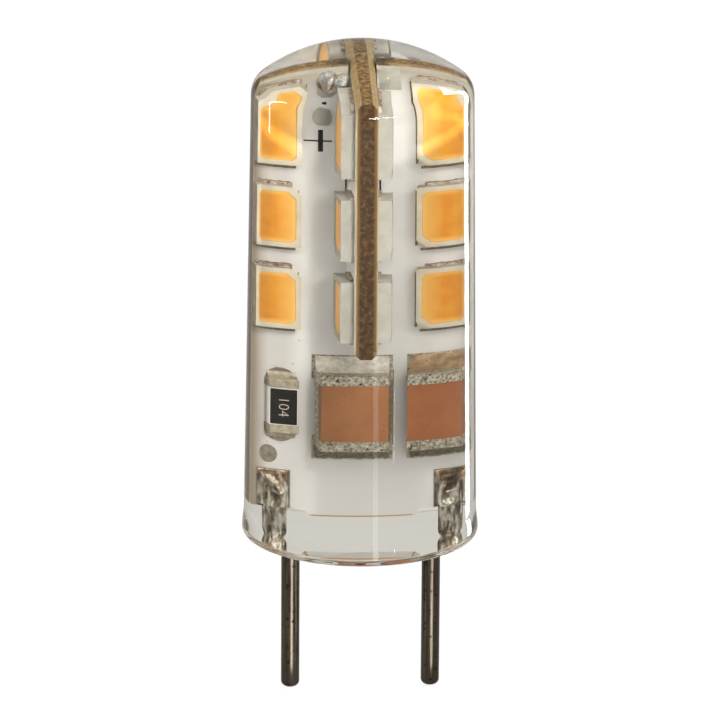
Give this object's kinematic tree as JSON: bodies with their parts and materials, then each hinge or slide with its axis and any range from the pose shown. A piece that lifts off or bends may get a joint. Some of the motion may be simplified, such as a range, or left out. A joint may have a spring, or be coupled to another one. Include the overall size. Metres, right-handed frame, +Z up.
{
  "type": "led capsule bulb",
  "caption": "Clear cast-silicone LED capsule bulb: crossed circuit boards set with small LEDs, chip capacitors and a resistor, on two straight pins for a push-in lamp holder.",
  "frame": {"origin": "centre of the capsule's base rim, on the capsule's axis", "axes": "+Z up the capsule's axis, away from the pins; -Y out of the board face that carries the pins and capacitors; +X to the right seen from there"},
  "size_m": [0.0134, 0.0134, 0.0376],
  "materials": {
    "clear_silicone": "clear cast silicone, glossy",
    "circuit_board": "white solder mask on fibreglass board, brown at cut edges",
    "pin_metal": "drawn wire, dark and polished",
    "led_housing": "moulded, satin",
    "phosphor": "phosphor in clear resin",
    "terminal_metal": "plated, bright",
    "tinned_land": "tinned copper, satin",
    "solder": "bright solder",
    "capacitor_ceramic": "fired, matt",
    "plated_ends": "tin plated, grainy",
    "resistor_ceramic": "fired white ceramic",
    "resistor_coat": "black glaze",
    "rectifier_case": "moulded, matt black"
  },
  "bodies": {
    "root": {"back_lands": "tinned_land", "back_resistor": "resistor_ceramic", "back_resistor_coat": "resistor_coat", "back_resistor_ends": "plated_ends", "capacitor_left": "capacitor_ceramic", "capacitor_left_ends": "plated_ends", "capacitor_right": "capacitor_ceramic", "capacitor_right_ends": "plated_ends", "capacitor_solder": "solder", "capsule": "clear_silicone", "cross_board": "circuit_board", "cross_lands": "tinned_land", "front_lands": "tinned_land", "front_resistor": "resistor_ceramic", "front_resistor_coat": "resistor_coat", "front_resistor_ends": "plated_ends", "joint_solder": "solder", "led_cross_left_back_1": "led_housing", "led_cross_left_back_2": "led_housing", "led_cross_left_back_3": "led_housing", "led_cross_left_front_1": "led_housing", "led_cross_left_front_2": "led_housing", "led_cross_left_front_3": "led_housing", "led_cross_right_back_1": "led_housing", "led_cross_right_back_2": "led_housing", "led_cross_right_back_3": "led_housing", "led_cross_right_front_1": "led_housing", "led_cross_right_front_2": "led_housing", "led_cross_right_front_3": "led_housing", "led_main_back_left_1": "led_housing", "led_main_back_left_2": "led_housing", "led_main_back_left_3": "led_housing", "led_main_back_right_1": "led_housing", "led_main_back_right_2": "led_housing", "led_main_back_right_3": "led_housing", "led_main_front_left_1": "led_housing", "led_main_front_left_2": "led_housing", "led_main_front_left_3": "led_housing", "led_main_front_right_1": "led_housing", "led_main_front_right_2": "led_housing", "led_main_front_right_3": "led_housing", "led_terminals_cross_left": "terminal_metal", "led_terminals_cross_right": "terminal_metal", "led_terminals_main_back": "terminal_metal", "led_terminals_main_front": "terminal_metal", "main_board": "circuit_board", "phosphor_cross_left": "phosphor", "phosphor_cross_right": "phosphor", "phosphor_main_back": "phosphor", "phosphor_main_front": "phosphor", "pin_left": "pin_metal", "pin_right": "pin_metal", "pin_solder": "solder", "rectifier": "rectifier_case", "rectifier_leads": "terminal_metal", "resistor_solder": "solder"}
  },
  "joints": []
}
